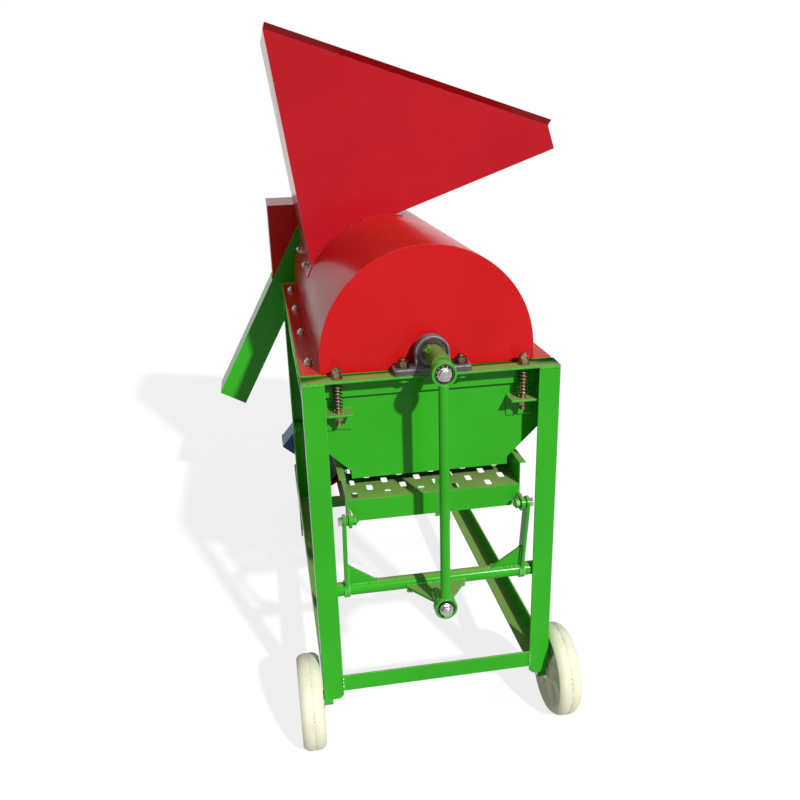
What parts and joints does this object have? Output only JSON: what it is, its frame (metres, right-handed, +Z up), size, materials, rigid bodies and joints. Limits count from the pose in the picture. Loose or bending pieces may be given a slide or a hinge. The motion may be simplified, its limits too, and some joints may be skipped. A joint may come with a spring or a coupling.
{
  "type": "chestnut peeler",
  "caption": "Upright green and red machine on an angle-iron frame with wheels: a side hopper feeds a round drum, a crank rod shakes the sieve under it, and a rear chute drops the husks.",
  "frame": {"origin": "middle of the bounding box on the floor", "axes": "+X to the right seen from the crank end, +Y from the crank end to the chute end, +Z up"},
  "size_m": [0.811, 1.325, 1.3814],
  "materials": {
    "green_paint": "glossy green enamel",
    "red_paint": "glossy red enamel",
    "blue_paint": "satin blue motor enamel",
    "cream_wheel": "moulded cream plastic",
    "bare_steel": "turned steel",
    "zinc": "zinc plated",
    "dark_steel": "oiled dark steel",
    "cast_grey": "grey painted casting",
    "black_rubber": "black rubber"
  },
  "bodies": {
    "frame": {"front_legs": "green_paint", "rear_legs": "green_paint", "top_rails": "green_paint", "bottom_rails": "green_paint", "axle_bushes": "green_paint", "axle_stubs": "bare_steel", "axle_washers_and_pins": "zinc", "drum_cover": "red_paint", "drum_ends": "red_paint", "sheet_bolts": "zinc", "hopper_end_walls": "red_paint", "hopper_left_wall": "red_paint", "hopper_tray": "red_paint", "hopper_saddle": "red_paint", "bearing_housings": "cast_grey", "bearing_outer_rings": "bare_steel", "bearing_bolts": "zinc", "rocker_bushes": "green_paint", "spring_bolts": "zinc", "concave_springs": "dark_steel", "discharge_hood": "red_paint", "husk_chute": "green_paint", "outlet_duct": "red_paint", "motor_body": "blue_paint", "terminal_box": "blue_paint", "motor_fan_cover": "blue_paint", "motor_mount": "green_paint", "motor_bolts": "zinc", "v_belts": "black_rubber", "belt_guard": "red_paint"},
    "rotor": {"main_shaft": "bare_steel", "rotor_discs": "dark_steel", "beater_bars": "dark_steel", "beater_pegs": "dark_steel", "crank_hub": "green_paint", "bearing_inner_rings": "bare_steel", "driven_pulley": "cast_grey"},
    "motor_rotor": {"motor_shaft": "bare_steel", "motor_pulley": "cast_grey"},
    "concave": {"concave_box": "green_paint", "concave_bars": "bare_steel", "concave_ribs": "dark_steel", "spring_brackets": "green_paint", "spring_nuts": "zinc"},
    "rocker": {"rocker_shaft": "green_paint", "rocker_arms": "green_paint", "crank_arm": "green_paint", "crank_pin": "zinc"},
    "rod": {"connecting_rod": "green_paint", "rod_bearings": "bare_steel", "rod_upper_bolt": "zinc"},
    "sieve": {"sieve_floor": "green_paint", "sieve_sides": "green_paint", "sieve_lugs": "green_paint", "sieve_pivot_bolts": "zinc"},
    "rear_swing": {"rear_links": "green_paint"},
    "wheel_l": {"wheel_left": "cream_wheel", "wheel_bush_left": "bare_steel"},
    "wheel_r": {"wheel_right": "cream_wheel", "wheel_bush_right": "bare_steel"}
  },
  "joints": [
    {"name": "rotor_spin", "type": "hinge", "parent": "frame", "child": "rotor", "pos_m": [0.0245, -0.5485, 0.8105], "axis": [0, 1, 0], "continuous": true},
    {"name": "motor_spin", "type": "hinge", "parent": "frame", "child": "motor_rotor", "pos_m": [-0.1255, 0.4275, 0.198], "axis": [0, 1, 0], "continuous": true},
    {"name": "concave_lift", "type": "slide", "parent": "frame", "child": "concave", "axis": [0, 0, 1], "range_m": [-0.008, 0.006], "deforming": ["concave_springs"]},
    {"name": "rocker_swing", "type": "hinge", "parent": "frame", "child": "rocker", "pos_m": [0.0245, -0.5485, 0.3485], "axis": [-1, 0, 0], "range_deg": [0, 13.3]},
    {"name": "rod_pivot", "type": "hinge", "parent": "rocker", "child": "rod", "pos_m": [0.0245, -0.6435, 0.345], "axis": [-1, 0, 0], "range_deg": [-14, 0.5]},
    {"name": "sieve_level", "type": "hinge", "parent": "rocker", "child": "sieve", "pos_m": [0.0245, -0.57681, 0.50902], "axis": [-1, 0, 0], "range_deg": [-13.5, 0.5]},
    {"name": "rear_link_swing", "type": "hinge", "parent": "frame", "child": "rear_swing", "pos_m": [0.0245, 0.3415, 0.3485], "axis": [-1, 0, 0], "range_deg": [-0.5, 13.5]},
    {"name": "wheel_left_spin", "type": "hinge", "parent": "frame", "child": "wheel_l", "pos_m": [-0.235, -0.5485, 0.095], "axis": [1, 0, 0], "continuous": true},
    {"name": "wheel_right_spin", "type": "hinge", "parent": "frame", "child": "wheel_r", "pos_m": [0.284, -0.5485, 0.095], "axis": [1, 0, 0], "continuous": true}
  ],
  "couplings": [
    {"joint": "motor_spin", "follows": "rotor_spin", "ratio": 2.0476},
    {"joint": "rod_pivot", "follows": "rocker_swing", "ratio": -1.0166},
    {"joint": "sieve_level", "follows": "rocker_swing", "ratio": -1},
    {"joint": "rear_link_swing", "follows": "rocker_swing", "ratio": 1}
  ]
}
